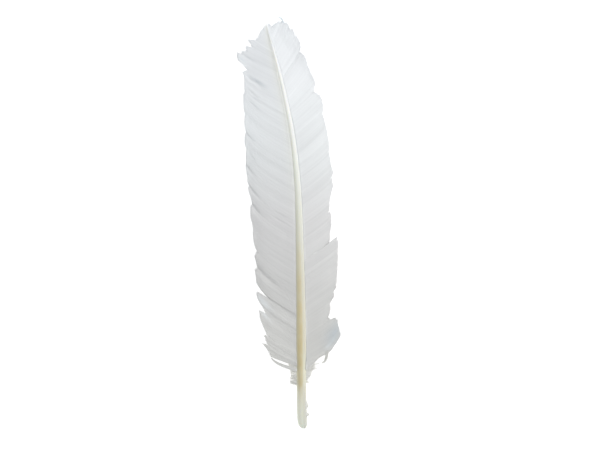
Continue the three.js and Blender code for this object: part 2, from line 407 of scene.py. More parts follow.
# A web of barbs: each is a narrow flat ribbon with a raised midrib, as wide as the room
# to its neighbours, and leans over the next one like a shingle.
def buildWeb(name, web, seed):
    random = np.random.default_rng(seed)
    root, tipX, tipY = barbRows(web, random)
    side = web["side"]
    count, steps = len(root), web["steps"] + 1
    u = np.linspace(0, 1, steps)[None, :]
    nearTip = smooth(plan["length"] - plan["insetChanges"], plan["length"], root)
    inset = plan["rootInset"] - plan["tipInset"] * nearTip
    rootX = shaftX(root) + side * halfWidth(root) * inset
    length = np.hypot(tipX - rootX, tipY - root)
    leaving, arriving = cutShort(*barbAngles(web, tipY), length, longestNear(web, root, length))

    def lay(endX, endY, turned):
        path = barbCourse(leaving + turned, arriving - turned, steps)
        chord = side * (endX - rootX) + 1j * (endY - root)
        path = path / path[:, -1:] * chord[:, None]
        return rootX[:, None] + side * path.real, root[:, None] + path.imag

    x, y = lay(tipX, tipY, 0)
    creases = listCreases(web, x, y, root, length)
    notches = [crease[0] for crease in creases if crease[3] > 1]
    group, place = groupBarbs(count, notches, web, random)
    creases += listCracks(web, group, root, length, random)
    wayX, wayY = tipX - x[:, -3], tipY - y[:, -3]
    stretch = tipReach(web, length, group, place, random) / np.hypot(wayX, wayY)
    tipX, tipY = tipX + wayX * stretch, tipY + wayY * stretch
    x, y = lay(tipX, tipY, random.normal(0, web["fanned"], group[-1] + 1)[group])
    wayX, wayY = unit(np.stack([wayX, wayY], -1)).T
    pull = tipPull(web, tipX, tipY, wayX, wayY, group, random)
    pull = pull[:, None] * smooth(0.75, 1.0, u) ** 1.5
    x = x + pull * wayY[:, None]
    y = y - pull * wayX[:, None]

    relief = makeRelief(web, root, creases, random)
    z = vaneZ(web, x, y) + relief(0) + random.normal(0, 0.01, count)[:, None]
    points = np.stack([x, y, np.maximum(z, 0.14)], -1)
    across, upward, beside = barbFrame(web, points, relief)
    left = length[:, None] * (1 - u)
    half = halfRibbon(web, points, beside, left)
    deep = web["depth"] / 2 * (0.35 + 0.65 * smooth(0, 8, left))
    corners = points[:, :, None] + np.stack([
        across * half[..., None], -upward * deep[..., None],
        -across * half[..., None], upward * deep[..., None],
    ], 2)
    corners[..., 2] = np.maximum(corners[..., 2], plan["lowest"])

    run = distances(points)
    edge = np.array([1, 0, -1, 0]) * half[..., None] * 1.3
    uv = np.stack([run[..., None] + 0 * edge, root[:, None, None] + edge], -1) / 10
    marks = barbMarks(web, x, y, root, run, left, group, random)
    print(f"{name}: {count} barbs")
    faces = tubeFaces(count, steps, 4)
    return addMesh(name, corners.reshape(-1, 3), faces, uv.reshape(-1, 2), marks)


# What the webs share. Each has angles by how far up a barb's tip is: how it leaves the shaft
# and how it arrives. A crease is a shallow valley along the barbs: where it starts, how far
# it runs inwards, its width and depth; at the margin it's a notch between two locks. A spot
# is a patch painted lighter or darker and bluer: most stand for painted highlights, sheen and
# shadows in folds, some for a lighter or darker tone of the web; where, how long and broad,
# how much lighter and how much bluer.
barbs = {
    "spacing": 0.38, "jitter": 0.2, "lockReach": 5,
    "cover": 1.25, "depth": 0.22, "tilt": 9, "taper": 2,
    "narrowest": 0.12, "bridging": (3, 1.6), "bridgingEnds": 0.8,
    "clump": (5, 16), "fanned": 0.4, "gather": 0.14, "ragged": 0.1, "point": 0.14,
    "crackRun": (4, 22), "crackWidth": (0.3, 0.9), "toneVaries": 0.012,
    "wave": (7, 16), "waveHeight": 0.07, "fineWave": (1.8, 5), "fineHeight": 0.012,
}
innerVane = {
    **barbs, "side": -1, "droop": (0.05, 0.11), "curl": (0.0028, 0.0017), "steps": 22,
    "edge": 0.1, "crack": 0.12, "rootShading": (-0.11, -0.11), "rootShadingReach": (2, 3.4),
    "shadowWarmth": 0.35, "seat": 0.34, "overhang": 1.5,
    "angles": [
        (51, 76, 66), (54, 72, 58), (61, 68, 50), (67, 66, 46), (83, 64, 40), (95, 64, 36),
        (150, 64, 33), (190, 64, 32), (220, 63, 34), (250, 64, 44), (270, 66, 52),
        (284, 58, 48), (289, 36, 28), (291.5, 20, 14),
    ],
    "margin": [
        (-22.9, 52.1), (-23.4, 54.5), (-25.2, 57.5), (-27.4, 59.8), (-28.7, 61.4), (-25, 60.6),
        (-25.9, 63.2), (-26.5, 65.2), (-27.5, 66.7), (-25.8, 67.5), (-26.6, 69.9), (-27.8, 73.4),
        (-29.6, 77), (-30.3, 80.5), (-30.7, 83.5), (-31, 85.2), (-26.2, 82.7), (-27.3, 85.5),
        (-28.8, 88.2), (-30.6, 90.2), (-32, 93.1), (-32.8, 96), (-32.5, 97.8), (-30.6, 97.5),
        (-25.7, 94.9), (-27.4, 96.8), (-29.2, 98.9), (-31.1, 101.4), (-33, 104.5), (-33.2, 108.9),
        (-33.8, 112.2), (-34.1, 114), (-32.3, 115.2), (-32.7, 117.2), (-33.5, 120.1), (-34.1, 123),
        (-33.6, 124.8), (-32.3, 126.7), (-33.3, 128.7), (-34.6, 132.2), (-35.1, 136.4),
        (-35.3, 142.8), (-35.8, 146.7), (-37, 150.7), (-37.3, 155.7), (-37, 159.1), (-35.8, 160.2),
        (-36.3, 162.9), (-37.2, 165.5), (-38.3, 169.1), (-38.9, 171.9), (-38.2, 173.3),
        (-39.2, 175.9), (-39.7, 180.9), (-40.4, 185.3), (-40.8, 188.1), (-40.4, 190.3),
        (-40.7, 195.3), (-40.2, 200), (-41.4, 202.9), (-41.5, 208.3), (-40.5, 211.9),
        (-41.6, 216.2), (-41.8, 221.3), (-41.1, 224.9), (-42.1, 229.2), (-42.4, 234.9),
        (-42.3, 239.6), (-41.2, 241.4), (-42, 245.4), (-41.5, 249.3), (-42.2, 253.3),
        (-43.1, 255.7), (-39.7, 257.3), (-42.3, 260.6), (-44.6, 262.7), (-46.1, 264), (-46.7, 267),
        (-46.9, 270.4), (-43.7, 269.1), (-43.4, 271), (-40.3, 271.2), (-40.8, 274.8),
        (-36.6, 274.1), (-37.2, 276.3), (-38.7, 277.9), (-39, 279.4), (-34.4, 279.4),
        (-32.6, 281.3), (-31.8, 283.3), (-30.6, 286.1), (-28.2, 289.4), (-27.1, 290.9),
        (-26.3, 291.5),
    ],
    "creases": [
        (-25, 60.6, 8, 1.2, 0.3), (-25.8, 67.5, 6, 1, 0.2), (-26.2, 82.7, 8, 1.5, 0.22),
        (-23.8, 88.4, 14, 1.2, 0.15), (-25.7, 94.9, 14, 1.6, 0.28), (-32.3, 115.2, 32, 2.2, 0.48),
        (-32.3, 126.7, 15, 1.8, 0.38), (-18, 150, 12, 1.2, 0.3), (-14.8, 152.6, 8, 1, 0.3),
        (-35.8, 160.2, 26, 1.8, 0.42), (-38.2, 173.3, 28, 1.8, 0.44), (-40.4, 188.9, 28, 1.8, 0.46),
        (-35.7, 193.5, 6, 2, 0.3), (-40.4, 211.9, 22, 1.5, 0.45), (-40, 225, 14, 1.8, 0.48),
        (-34, 231, 6, 1.2, 0.4), (-36.4, 240, 9, 1.4, 0.45), (-38, 251.4, 15, 2, 0.62),
        (-39.7, 257.3, 6, 1.2, 0.3), (-43.5, 268.8, 11, 1, 0.7), (-36.6, 274.1, 3, 1, 0.2),
        (-34.4, 279.4, 3, 1, 0.2),
    ],
    "spots": [
        (-28, 90.8, 7, 2.6, 0.18, 0.3), (-27.5, 82.5, 6, 1.8, 0.08, 0.2),
        (-18, 68, 22, 12, 0.085, 0), (-38, 214, 11, 26, 0.03, 0.06),
        (-12, 79, 12, 4, 0.055, 0), (-9, 50, 8, 3, 0.07, 0),
        (-24, 80, 9, 4, 0.05, 0), (-28, 107, 8, 5, 0.04, 0),
        (-35, 118, 6, 12, -0.04, 0), (-32, 249, 6, 1.5, -0.08, 0.35),
        (-39, 266.3, 5, 0.9, -0.09, 0.2), (-44, 265.3, 3, 1.2, 0.05, 0.4),
        (-36, 243.5, 5, 1, 0.04, 0), (-33.8, 236.4, 3, 0.8, -0.06, 0.15),
        (-34.5, 231.5, 4, 0.8, -0.05, 0.15),
    ],
}
outerVane = {
    **barbs, "side": 1, "droop": (0.08, 0.14), "curl": (0.0025, 0.0022), "steps": 20,
    "edge": 0.08, "crack": 0.1, "rootShading": (0.3, 0.06), "rootShadingReach": (1.8, 1.8),
    "shadowWarmth": 0, "seat": 0.31, "overhang": 0.9,
    "angles": [
        (55, 58, 92), (60, 62, 62), (66, 66, 38), (76, 64, 42), (80, 62, 52), (110, 60, 52),
        (150, 60, 46), (185, 58, 42), (215, 54, 40), (242, 50, 42), (258, 42, 33), (270, 37, 28),
        (287, 34, 24), (292, 27, 18),
    ],
    "margin": [
        (8.6, 48.6), (10.6, 51), (12.6, 53.6), (13.8, 55.2), (16.6, 53.9), (18.5, 55.2),
        (20.2, 57.2), (22.6, 60.6), (25.1, 63.9), (26.8, 67.2), (26.4, 69.3), (25.1, 74.6),
        (24.1, 78.8), (22.5, 80.6), (21, 79.9), (19.4, 79.1), (17.9, 80.7), (18.7, 83),
        (19.3, 85.8), (18.8, 90), (20.1, 92.1), (22, 95.3), (21.7, 98.9), (23.5, 101.6),
        (24, 111.1), (24.6, 117.9), (24.6, 133.3), (24, 138), (22.8, 137.5), (20.1, 134.9),
        (18.3, 133.2), (19, 136.9), (19, 141.2), (20.1, 146.6), (19.9, 153.1), (18.5, 156.1),
        (18.9, 164.2), (20.1, 169.8), (21.5, 174.5), (20.2, 180.2), (21.5, 184.2), (20.3, 187.1),
        (19.5, 191.9), (18.4, 199.1), (18.4, 204.6), (17.3, 212.8), (15.2, 221.3), (13.7, 226.2),
        (14.3, 228.5), (14.6, 232.2), (13.6, 236.4), (11.8, 240), (9.1, 241.3), (7.4, 242.4),
        (8.6, 247.2), (8.2, 250.2), (5.5, 255.8), (3.2, 261.3), (1.9, 265.5), (0.8, 268.3),
        (-0.7, 270.3), (-2.7, 270.7), (-1.6, 274.1), (-1.9, 276.7), (-3.2, 279.6), (-4.6, 282),
        (-6.4, 284.6), (-7.8, 287.4), (-9.4, 287.6), (-10.1, 289.2), (-12, 292.4), (-13.3, 291.4),
        (-15, 292.7), (-16.2, 291.9), (-17.5, 292.9), (-19.5, 291.7), (-21.9, 290.8),
        (-22.4, 288.6), (-23.3, 291.4), (-24.6, 291.7), (-25.9, 291.7),
    ],
    "creases": [
        (17.9, 80.7, 16, 1.8, 0.6), (18.8, 90, 12, 1.4, 0.5), (21.7, 98.9, 8, 1.4, 0.35),
        (21.2, 117.4, 9, 1.4, 0.35), (18.3, 133.2, 14, 1.3, 0.8), (18.5, 156.1, 10, 1.4, 0.35),
        (20.2, 180.2, 13, 1.4, 0.6), (19.4, 176.4, 8, 1.2, 0.4), (17.6, 194.6, 8, 1.4, 0.4),
        (12.9, 226.2, 8, 1.4, 0.25), (6.6, 242.4, 13, 1.3, 0.45), (-3.3, 270.7, 25, 1.2, 0.35),
        (-9.4, 286.5, 14, 1.2, 0.25), (-22.4, 288.1, 3, 0.8, 0.15),
    ],
    "spots": [
        (21.5, 68.5, 8, 7.5, -0.11, 0.55), (18.6, 60.6, 2.6, 1.4, 0.16, 0.15),
        (21.4, 64.6, 2, 1, 0.1, 0.1), (23.5, 70.5, 2, 0.8, 0.03, 0.2),
        (8, 232, 34, 40, -0.045, 0), (8, 78, 8, 6, -0.05, 0),
        (18, 107, 8, 6, 0.035, 0),
    ],
}


# A shader socket that takes part in ordinary sums.
class Value:
    def __init__(self, look, socket):
        self.look = look
        self.socket = socket

    def sum(self, operation, first, second):
        return self.look.add("ShaderNodeMath", {"operation": operation}, {0: first, 1: second})

    def __add__(self, other):
        return self.sum("ADD", self, other)

    __radd__ = __add__

    def __sub__(self, other):
        return self.sum("SUBTRACT", self, other)

    def __rsub__(self, other):
        return self.sum("SUBTRACT", other, self)

    def __mul__(self, other):
        return self.sum("MULTIPLY", self, other)


class Look:
    def __init__(self, name):
        self.material = bpy.data.materials.new(name)
        self.material.use_nodes = True
        self.tree = self.material.node_tree
        self.tree.nodes.clear()

    # kind is a node's type; its settings are set first, then its sockets; a colour stop
    # that is one number is a grey
    def add(self, kind, settings=None, sockets=None, output=0):
        node = self.tree.nodes.new(kind)
        for name, setting in (settings or {}).items():
            if name == "stops":
                ramp = node.color_ramp
                while len(ramp.elements) < len(setting):
                    ramp.elements.new(0.5)
                for element, (position, colour) in zip(ramp.elements, setting):
                    element.position = position
                    element.color = (*np.broadcast_to(colour, 3), 1)
            else:
                setattr(node, name, setting)
        for key, value in (sockets or {}).items():
            if isinstance(value, Value):
                self.tree.links.new(value.socket, node.inputs[key])
            else:
                node.inputs[key].default_value = value
        return Value(self, node.outputs[output]) if len(node.outputs) else None

    def mix(self, factor, first, second, blend="MIX"):
        settings = {"data_type": "RGBA", "blend_type": blend, "clamp_factor": True}
        return self.add("ShaderNodeMix", settings, {0: factor, 6: first, 7: second}, 2)

    def shade(self, colour, light):
        grey = self.add("ShaderNodeCombineColor", {}, {0: light, 1: light, 2: light})
        return self.mix(1.0, colour, grey, "MULTIPLY")

    def noise(self, vector, scale, detail=3.0):
        return self.add("ShaderNodeTexNoise", {}, {
            "Vector": vector, "Scale": scale, "Detail": detail})

    def spread(self, value, low, high, newLow=0.0, newHigh=1.0, kind="SMOOTHSTEP"):
        return self.add("ShaderNodeMapRange", {"interpolation_type": kind}, {
            "Value": value, "From Min": low, "From Max": high, "To Min": newLow, "To Max": newHigh})

    def stretched(self, vector, x, y, z):
        return self.add("ShaderNodeVectorMath", {"operation": "MULTIPLY"}, {0: vector, 1: (x, y, z)})

    def place(self):
        return self.add("ShaderNodeTexCoord", {}, {}, "Object")

    def ramp(self, stops, way):
        return self.add("ShaderNodeValToRGB", {"stops": stops}, {"Fac": way})

    # a colour that changes along the feather: stops in mm from the barrel's end
    def lengthwise(self, stops):
        y = self.add("ShaderNodeSeparateXYZ", {}, {0: self.place()}, 1)
        low, high = stops[0][0], stops[-1][0]
        start = barrelEnd.y + low * millimetre
        end = barrelEnd.y + high * millimetre
        way = self.spread(y, start, end, kind="LINEAR")
        scaled = [((at - low) / (high - low), colour) for at, colour in stops]
        return self.ramp(scaled, way)

    def strengthwise(self, stops):
        return self.add("ShaderNodeSeparateColor", {}, {0: self.lengthwise(stops)})

    def attribute(self, name):
        return self.add("ShaderNodeAttribute", {"attribute_name": name}, {}, "Fac")

    def bump(self, height, strength, distance):
        return self.add("ShaderNodeBump", {}, {
            "Strength": strength, "Distance": distance, "Height": height})

    def finish(self, second=None, share=0.0, **sockets):
        sockets = {name.replace("_", " "): value for name, value in sockets.items()}
        surface = self.add("ShaderNodeBsdfPrincipled", {}, sockets)
        if second is not None:
            surface = self.add("ShaderNodeMixShader", {}, {0: share, 1: surface, 2: second})
        self.add("ShaderNodeOutputMaterial", {}, {"Surface": surface})
        return self.material


# The vane grows lighter and bluer towards the tip: partly its own colour, partly painted light that
# falls off from the tip towards the barrel. The blue colour tints painted sheen, highlights and
# shadows in folds; the warm one tints the painted shade beside the shaft.
vaneFinish = {
    "lengthwise": [
        (45, (0.71, 0.71, 0.685)), (105, (0.71, 0.71, 0.7)), (150, 0.76),
        (193, (0.825, 0.845, 0.85)), (222, (0.872, 0.895, 0.905)), (250, (0.885, 0.905, 0.92)),
        (292, (0.885, 0.91, 0.93)),
    ],
    "shadeAndSheenBlue": (0.66, 0.73, 0.78, 1), "shadowWarm": (0.87, 0.87, 0.76, 1),
    "streaks": 0.08, "roughness": 0.75,
}


def makeVaneLook():
    look = Look("vane barbs")
    colour = look.lengthwise(vaneFinish["lengthwise"])
    barbs = look.add("ShaderNodeUVMap", {"uv_map": "barbs"})
    broad = look.noise(look.stretched(barbs, 0.12, 2.2, 1), 1.0, 2.0)
    narrow = look.noise(look.stretched(barbs, 0.35, 9.0, 1), 1.0, 2.0)
    streaks = (broad + narrow - 1.0) * vaneFinish["streaks"]
    # Painted tints: blue where painted sheen, highlights and fold shadows lie, warm in the painted
    # shade beside the shaft; then the tone attribute, random tone with painted light and shade.
    chill = look.attribute("chill")
    colour = look.mix(chill, colour, vaneFinish["shadeAndSheenBlue"])
    colour = look.mix(0.0 - chill, colour, vaneFinish["shadowWarm"])
    colour = look.shade(colour, (1.0 + streaks) * look.attribute("tone"))
    barbules = look.noise(look.stretched(barbs, 60, 60, 1), 1.0, 2.0)
    return look.finish(
        Base_Color=colour, Roughness=vaneFinish["roughness"], IOR=1.45,
        Specular_IOR_Level=0.2, Normal=look.bump(barbules, 0.2, 0.0001))


# lift is a painted glow: the down gives off a little light of its own colour to stay bright.
downFinish = {
    "colour": (0.89, 0.89, 0.875, 1), "shadow": (0.84, 0.84, 0.82, 1),
    "roughness": 0.9, "through": 0.4, "lift": 0.1,
}
wispFinish = {
    **downFinish,
    "colour": (0.87, 0.91, 0.93, 1), "shadow": (0.84, 0.88, 0.9, 1), "lift": 0.06,
}


def makeDownLook(name, fluff):
    look = Look(name)
    patches = look.spread(look.noise(look.place(), 260.0), 0.35, 0.65)
    colour = look.mix(patches, fluff["shadow"], fluff["colour"])
    glow = look.add("ShaderNodeBsdfTranslucent", {}, {"Color": colour})
    # The emission by lift is painted light: the down is no lamp.
    return look.finish(
        glow, fluff["through"],
        Base_Color=colour, Roughness=fluff["roughness"], Specular_IOR_Level=0.15,
        Emission_Color=fluff["colour"], Emission_Strength=fluff["lift"])


# Colours of the horn along the shaft, the golden core that shows through it, and painted
# light and shade across the shaft.
hornFinish = {
    "lengthwise": [
        (0, (0.87, 0.9, 0.785)), (24, (0.86, 0.855, 0.725)), (45, (0.77, 0.76, 0.61)),
        (64, (0.75, 0.72, 0.58)), (107, (0.735, 0.72, 0.61)), (150, (0.77, 0.78, 0.7)),
        (193, (0.86, 0.875, 0.825)), (229, (0.92, 0.925, 0.905)),
        (274, (0.93, 0.94, 0.93)), (283, (0.85, 0.87, 0.87)), (289, (0.77, 0.79, 0.8)),
    ],
    "core": (0.68, 0.58, 0.34, 1),
    "coreStrength": [
        (0, 0), (18, 0.05), (28, 0.5), (36, 0.95), (64, 1), (100, 0.7), (140, 0.12), (170, 0),
    ],
    "coreMiddle": -0.25, "coreHalf": 0.75,
    # Painted shade and light across the rachis: darker over its left side, lightest just right of the
    # middle, a little darker towards its right edge.
    "flank": [
        (0, (0.93, 0.93, 0.92)), (0.12, (0.87, 0.87, 0.84)), (0.3, (0.87, 0.88, 0.86)),
        (0.5, 0.975), (0.64, 1), (0.85, (0.92, 0.92, 0.93)), (1, (0.93, 0.93, 0.94)),
    ],
    # Painted shade across the barrel: darker towards its right side, which faces the lamp, lighter on
    # its left, to even out its shading.
    "barrelShading": [
        (0, (0.9, 0.9, 0.92)), (0.14, 1), (0.5, 0.95), (0.6, 0.84), (0.72, (0.73, 0.72, 0.73)),
        (1, (0.63, 0.62, 0.64)),
    ],
    # How far along the shaft the rachis's painted shading takes over from the barrel's.
    "flankStrength": [(0, 0), (24, 0.1), (46, 1), (289, 1)],
    "roughness": 0.55,
}


def makeHornLook():
    look = Look("shaft horn")
    place = look.place()
    across = look.attribute("across")
    colour = look.lengthwise(hornFinish["lengthwise"])
    strength = look.strengthwise(hornFinish["coreStrength"])
    away = (across - hornFinish["coreMiddle"]) * (1 / hornFinish["coreHalf"])
    inside = look.spread(1.0 - away * away, 0.0, 1.0)
    blotches = look.noise(look.stretched(place, 260, 110, 260), 1.0, 3.0)
    blotches = look.spread(blotches, 0.3, 0.7, 0.65, 1.0)
    colour = look.mix(inside * blotches * strength, colour, hornFinish["core"])
    # Painted light and shade across the shaft, from the flank ramps.
    sideways = across * 0.5 + 0.5
    flank = look.ramp(hornFinish["flank"], sideways)
    barrel = look.ramp(hornFinish["barrelShading"], sideways)
    rachis = look.strengthwise(hornFinish["flankStrength"])
    colour = look.mix(1.0, colour, look.mix(rachis, barrel, flank), "MULTIPLY")
    grain = look.noise(look.stretched(place, 2200, 60, 2200), 1.0, 3.0)
    colour = look.shade(colour, 0.95 + grain * 0.1)
    return look.finish(
        Base_Color=colour, Roughness=hornFinish["roughness"], IOR=1.5,
        Specular_IOR_Level=0.3,
        Subsurface_Weight=0.4, Subsurface_Radius=(0.0015, 0.0014, 0.0011), Subsurface_Scale=1.0,
        Normal=look.bump(grain, 0.12, 0.0001))


sheathFinish = {"colour": (0.64, 0.64, 0.6, 1), "stain": (0.52, 0.52, 0.47, 1), "roughness": 0.7}


def makeSheathLook():
    look = Look("dry sheath")
    spots = look.spread(look.noise(look.place(), 700.0), 0.4, 0.7)
    colour = look.mix(spots, sheathFinish["colour"], sheathFinish["stain"])
    fibres = look.noise(look.stretched(look.place(), 2500, 150, 2500), 1.0)
    return look.finish(
        Base_Color=colour, Roughness=sheathFinish["roughness"], IOR=1.5,
        Normal=look.bump(fibres, 0.3, 0.0001))


def applyModifier(piece, kind, **settings):
    modifier = piece.modifiers.new(kind.lower(), kind)
    for name, value in settings.items():
        setattr(modifier, name, value)
    bpy.ops.object.modifier_apply(modifier=modifier.name)


# The shaft is drawn out ring by ring from a circle at the barrel's end. Beyond the
# barrel its round section turns into the rachis: a low crown above the barbs' roots,
# upright flanks and a groove underneath.
shaft = {
    "corners": 32,
    "rings": 70, "ringSpread": 1.25, "tipCap": 0.4, "narrowest": 0.3, "hair": 0.01,
    "holeRadius": 0.8, "holeDepth": 1.8,
    "rachisFrom": 36, "rachisTo": 58,
    "shoulder": 0.6, "crown": 0.38, "crownWidth": 0.85, "crownRound": 0.9,
    "keel": 1.47, "keelRound": 0.8, "flankWidth": 0.5, "flankTaper": 0.12,
    "groove": 0.42, "grooveWidth": 24,
    "pitAt": 44, "pitLength": 2.2, "pitDepth": 0.45, "pitWidth": 20,
}


def rachisSection(around):
    up = np.sin(around)
    out = np.cos(around)
    above = up >= 0
    x = np.sign(out) * abs(out) ** np.where(above, shaft["crownWidth"], shaft["flankWidth"])
    x = x * np.where(above, 1, 1 + shaft["flankTaper"] * up)
    crown = shaft["crown"] * abs(up) ** shaft["crownRound"]
    keel = shaft["keel"] * abs(up) ** shaft["keelRound"]
    z = shaft["shoulder"] + np.where(above, crown, -keel)
    fromKeel = np.degrees(np.arccos(np.clip(-up, -1, 1)))
    z = z + np.where(above, 0, shaft["groove"] * np.exp(-(fromKeel / shaft["grooveWidth"]) ** 2))
    return x, z


def shapeRachis(piece):
    count = len(piece.data.vertices)
    at = np.zeros(count * 3)
    piece.data.vertices.foreach_get("co", at)
    at = at.reshape(-1, 3)
    x, y, z = ((at - np.array(barrelEnd)) / millimetre).T
    radius = halfWidth(y)
    around = np.arctan2(z - shaftZ(y), x - shaftX(y))
    newX, newZ = rachisSection(around)
    fromKeel = np.degrees(np.arccos(np.clip(-np.sin(around), -1, 1)))
    pit = ((y - shaft["pitAt"]) / shaft["pitLength"]) ** 2 + (fromKeel / shaft["pitWidth"]) ** 2
    pit = shaft["pitDepth"] * np.exp(-pit)
    newZ = newZ + pit
    turned = smooth(shaft["rachisFrom"], shaft["rachisTo"], y)
    x = x + turned * (shaftX(y) + newX * radius - x)
    z = z + turned * (shaftZ(y) + newZ * radius - z) + (1 - turned) * pit * radius
    at = np.stack([x, y, z], -1) * millimetre + np.array(barrelEnd)
    piece.data.vertices.foreach_set("co", at.ravel())


# The hole in the barrel's end.
def sinkHole(piece, start):
    bpy.ops.mesh.select_all(action="DESELECT")
    bpy.ops.object.mode_set(mode="OBJECT")
    for vertex in piece.data.vertices:
        vertex.select = vertex.co.y < barrelEnd.y + shaft["hair"] * millimetre
    bpy.ops.object.mode_set(mode="EDIT")
    bpy.ops.mesh.extrude_region_move(TRANSFORM_OT_translate={"value": (0, 0, 0)})
    shrink = shaft["holeRadius"] / halfWidth(0)
    bpy.ops.transform.resize(value=(shrink, 1, shrink), center_override=start)
    bpy.ops.mesh.extrude_region_move(
        TRANSFORM_OT_translate={"value": (0, shaft["holeDepth"] * millimetre, 0)})
    bpy.ops.mesh.merge(type="CENTER")


# Marks how far across the shaft each point is, from -1 to 1, and keeps it above the floor.
def markAcross(piece):
    across = piece.data.attributes.new("across", "FLOAT", "POINT")
    for vertex, value in zip(piece.data.vertices, across.data):
        vertex.co.z = max(vertex.co.z, shaft["hair"] * millimetre)
        at = (vertex.co - barrelEnd) / millimetre
        value.value = (at.x - shaftX(at.y)) / max(halfWidth(at.y), shaft["narrowest"])


def buildShaft():
    ys = plan["length"] * np.linspace(0, 1, shaft["rings"] + 1) ** shaft["ringSpread"]
    ys = np.append(ys, plan["length"] + shaft["tipCap"])
    radius = halfWidth(0) * millimetre
    start = toFrame(shaftX(0), 0, shaftZ(0))
    bpy.ops.mesh.primitive_circle_add(
        vertices=shaft["corners"], radius=radius, fill_type="NOTHING",
        location=start, rotation=(math.radians(90), 0, 0))
    piece = bpy.context.object
    piece.name = "shaft"
    bpy.ops.object.transform_apply(location=True, rotation=True, scale=True)
    bpy.ops.object.mode_set(mode="EDIT")
    bpy.ops.mesh.select_mode(type="VERT")
    bpy.ops.mesh.select_all(action="SELECT")
    centre = start
    for y in ys[1:]:
        step = toFrame(shaftX(y), y, shaftZ(y)) - centre
        bpy.ops.mesh.extrude_region_move(TRANSFORM_OT_translate={"value": step})
        centre = centre + step
        grown = halfWidth(y) * millimetre / radius
        bpy.ops.transform.resize(value=(grown, 1, grown), center_override=centre)
        radius = radius * grown
    bpy.ops.mesh.merge(type="CENTER")
    sinkHole(piece, start)
    bpy.ops.mesh.select_all(action="SELECT")
    bpy.ops.mesh.normals_make_consistent(inside=False)
    bpy.ops.object.mode_set(mode="OBJECT")
    bpy.ops.object.shade_smooth()
    shapeRachis(piece)
    applyModifier(piece, "SUBSURF", levels=1, render_levels=1)
    markAcross(piece)
    print(f"shaft: {len(piece.data.polygons)} faces")
    return piece


# Flakes of dried sheath: the upper edge still clings to the barrel, the rest peels off.
flakes = [
    {"name": "sheath_flake_upper", "node": "sheath_scrap_upper", "seed": 5,
     "span": (13.8, 20.8), "around": (40, -20), "lift": 1.5, "peak": 0.42},
    {"name": "sheath_flake_lower", "node": "sheath_scrap_lower", "seed": 8,
     "span": (8.8, 12.6), "around": (38, -14), "lift": 2.1, "peak": 0.36},
]
flakeSheet = {
    "across": 12, "along": 16, "thickness": 0.07, "offBarrel": 0.02, "sunk": 0.12,
    "fray": 0.35, "ripple": 0.05, "peel": 1.6, "lowest": 0.15,
}


def buildFlake(flake):
    random = np.random.default_rng(flake["seed"])
    bpy.ops.mesh.primitive_grid_add(
        x_subdivisions=flakeSheet["across"], y_subdivisions=flakeSheet["along"], size=1)
    piece = bpy.context.object
    piece.name = flake["name"]
    low, high = flake["span"]
    top, bottom = flake["around"]
    peak = flake["peak"]
    edge = waves(random, 5, 0.15, 0.6, 0)
    for vertex in piece.data.vertices:
        out, up = vertex.co.x + 0.5, vertex.co.y + 0.5
        rise = smooth(0, peak, up) * (1 - smooth(peak, 1, up))
        fray = 1 - flakeSheet["fray"] * out ** 2 * (0.5 + 0.5 * edge(up, 0))
        angle = math.radians(top + (bottom - top) * out * fray)
        y = low + (high - low) * (up + flakeSheet["ripple"] * out * edge(out + 3, 0))
        radius = halfWidth(y) + flakeSheet["offBarrel"] - flakeSheet["sunk"] * (1 - out) ** 2
        radius = radius + flake["lift"] * rise * out ** flakeSheet["peel"]
        x = shaftX(y) + radius * math.cos(angle)
        z = shaftZ(y) + radius * math.sin(angle)
        vertex.co = toFrame(x, y, max(z, flakeSheet["lowest"]))
    applyModifier(piece, "SOLIDIFY", thickness=flakeSheet["thickness"] * millimetre, offset=1.0)
    applyModifier(piece, "SUBSURF", levels=1, render_levels=1)
    bpy.ops.object.shade_smooth()
    return piece


# Downy barbs run from the shaft's flank to the tuft's margin and droop to the floor.
def downyBarbs(tuft, random):
    courses = []
    margin = np.array(tuft["margin"], float)
    run = distances(margin)
    u = np.linspace(0, 1, tuft["steps"])[:, None]
    for i in range(tuft["count"]):
        t = (i + random.uniform(0.1, 0.9)) / tuft["count"]
        at = np.clip(t + random.normal(0, 0.02), 0, 1) * run[-1]
        end = pointsAt(at, run, margin)
        rootY = tuft["roots"][0] + (tuft["roots"][1] - tuft["roots"][0]) * t
        start = np.array([shaftX(rootY) + tuft["side"] * halfWidth(rootY) * tuft["inset"], rootY])
        end = start + (end - start) * random.uniform(*tuft["reach"])
        bend = random.normal(0, tuft["bend"]) + tuft["sideways"] * tuft["side"]
        middle = (start + end) / 2 + np.array([end[1] - start[1], start[0] - end[0]]) * bend
        flat = (1 - u) ** 2 * start + 2 * u * (1 - u) * middle + u ** 2 * end
        high = shaftZ(rootY) + random.uniform(*tuft["rootHeight"]) * halfWidth(rootY)
        low = random.uniform(*tuft["tipHeight"])
        hump = random.uniform(0, tuft["hump"])
        z = high + (low - high) * u ** 1.5 + hump * 4 * u * (1 - u)
        courses.append(np.hstack([flat, z]))
    return courses


# Loose barbs that run side by side: how many, how far apart, and the way they take.
def looseBarbs(tuft, random):
    courses = []
    u = np.linspace(0, 1, tuft["steps"])[:, None]
    fine = tuft["smoothing"]
    evenly = np.ones(2 * fine + 1) / (2 * fine + 1)
    for count, apart, strand in tuft["strands"]:
        at = np.linspace(0, 1, fine * (tuft["steps"] - 1) + 1) * (len(strand) - 1)
        path = pointsAt(at, range(len(strand)), np.array(strand, float))
        path = [np.convolve(np.pad(axis, fine, "edge"), evenly, "valid") for axis in path.T]
        path = np.stack(path, -1)[::fine]
        for i in range(count):
            offset = random.normal(0, apart, (2, 3)) * (1, 1, tuft["flatness"])
            courses.append(path + offset[0] + u * (offset[1] - offset[0]))
    return courses


